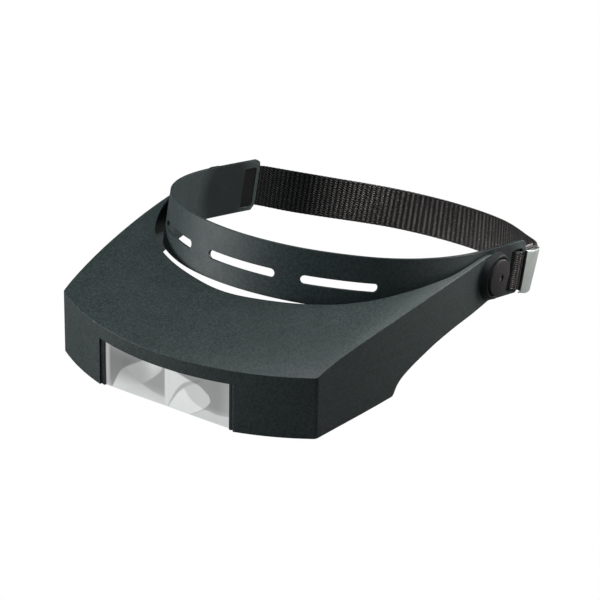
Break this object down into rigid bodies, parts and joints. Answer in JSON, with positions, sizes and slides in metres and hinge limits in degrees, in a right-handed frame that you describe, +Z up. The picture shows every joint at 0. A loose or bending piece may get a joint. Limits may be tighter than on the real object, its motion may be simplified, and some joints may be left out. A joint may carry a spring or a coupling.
{
  "type": "head visor magnifier",
  "caption": "Flip-up visor with a magnifying lens pair in its front window, hinged on a slotted headband with an elastic rear strap.",
  "frame": {"origin": "middle of the flip-up pivot axis, half-way between the two ear caps", "axes": "+X to the side with the metal strap tip, along the pivot axis; -Y to the front window; +Z up when the object lies on a table on its visor rim and the back of its strap"},
  "size_m": [0.1976, 0.3037, 0.0808],
  "materials": {
    "visor_plastic": "fine-grained matt moulding",
    "band_plastic": "smooth matt moulding",
    "black_plastic": "matt",
    "cap_plastic": "satin",
    "sleeve_plastic": "smooth",
    "fibre_washer": "dull",
    "brass_bush": "machined",
    "screw_steel": "blackened",
    "bright_metal": "brushed",
    "webbing": "ribbed weave",
    "backing_tape": "smooth woven tape",
    "fastener_tape": "hook-and-loop pile",
    "lens_clear": "polished"
  },
  "bodies": {
    "headband": {"headband": "band_plastic", "left_pivot_bush": "brass_bush", "right_pivot_bush": "brass_bush", "left_friction_washer": "fibre_washer", "right_friction_washer": "fibre_washer", "strap_webbing": "webbing", "strap_backing_tape": "backing_tape", "strap_hook_patch": "fastener_tape", "strap_loop_patch": "fastener_tape", "strap_end_tip": "bright_metal", "left_strap_anchor": "black_plastic"},
    "visor": {"visor_shell": "visor_plastic", "lens_bezel": "black_plastic", "left_ear_sleeve": "sleeve_plastic", "right_ear_sleeve": "sleeve_plastic"},
    "left_clamp": {"left_pivot_cap": "cap_plastic", "left_clamp_screw": "screw_steel", "left_wave_washer": "screw_steel"},
    "right_clamp": {"right_pivot_cap": "cap_plastic", "right_clamp_screw": "screw_steel", "right_wave_washer": "screw_steel"},
    "lens_cassette": {"lens_frame": "black_plastic", "left_lens": "lens_clear", "right_lens": "lens_clear"}
  },
  "joints": [
    {"name": "visor_flip", "type": "hinge", "parent": "headband", "child": "visor", "pos_m": [0, 0, 0], "axis": [-1, 0, 0], "range_deg": [-8, 75]},
    {"name": "left_clamp_turn", "type": "hinge", "parent": "headband", "child": "left_clamp", "pos_m": [-0.096, 0, 0], "axis": [1, 0, 0], "range_deg": [0, 180]},
    {"name": "right_clamp_turn", "type": "hinge", "parent": "headband", "child": "right_clamp", "pos_m": [0.096, 0, 0], "axis": [-1, 0, 0], "range_deg": [0, 180]},
    {"name": "lens_slide", "type": "slide", "parent": "visor", "child": "lens_cassette", "axis": [0, 0.0819, -0.9966], "range_m": [0, 0.034]}
  ]
}
